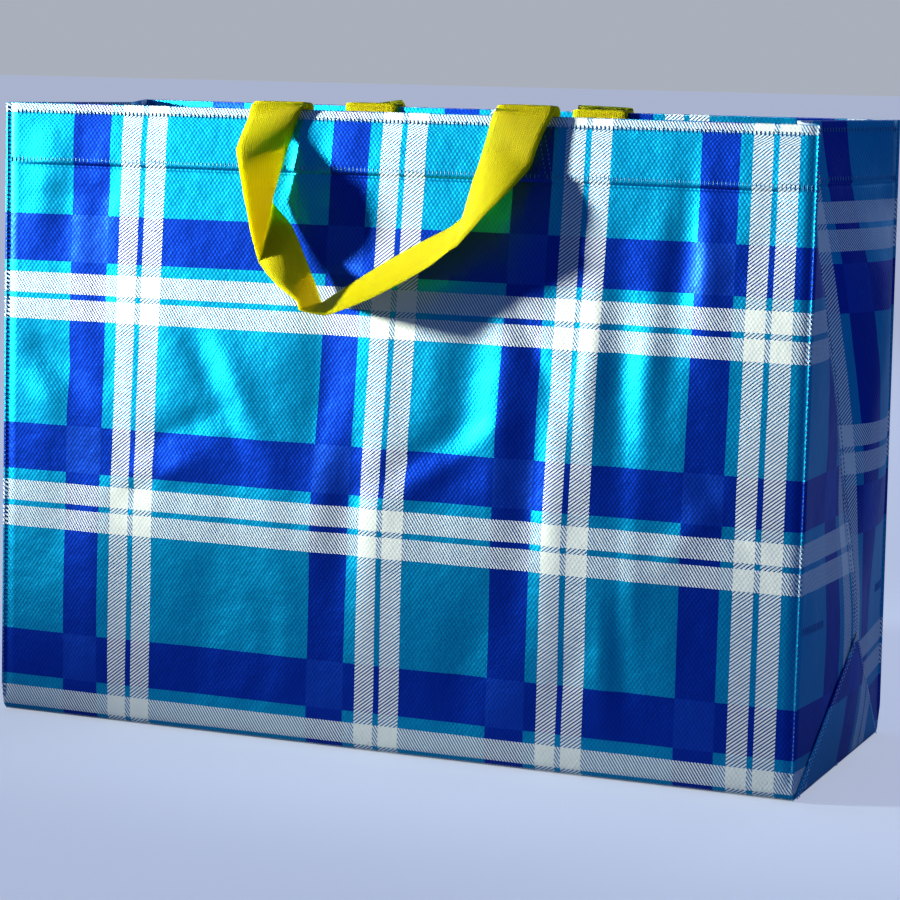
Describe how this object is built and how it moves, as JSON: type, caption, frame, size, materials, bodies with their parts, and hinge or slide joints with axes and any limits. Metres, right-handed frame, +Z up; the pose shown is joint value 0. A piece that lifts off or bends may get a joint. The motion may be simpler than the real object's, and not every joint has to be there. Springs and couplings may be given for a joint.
{
  "type": "woven plastic carrier bag",
  "caption": "Free-standing reusable shopping bag of glossy woven plastic sheet in a blue tartan, with folded ends and short yellow webbing handles.",
  "frame": {"origin": "middle of the flat base, on the surface that the bag stands on", "axes": "+X along the long sides to the right, -Y out of the front, +Z up to the mouth"},
  "size_m": [0.5612, 0.2722, 0.4054],
  "materials": {
    "printed_sheet": "glossy laminated weave, printed tartan",
    "webbing": "ribbed matt webbing"
  },
  "bodies": {
    "root": {"bag_body": "printed_sheet", "front_handle": "webbing", "back_handle": "webbing"}
  },
  "joints": []
}
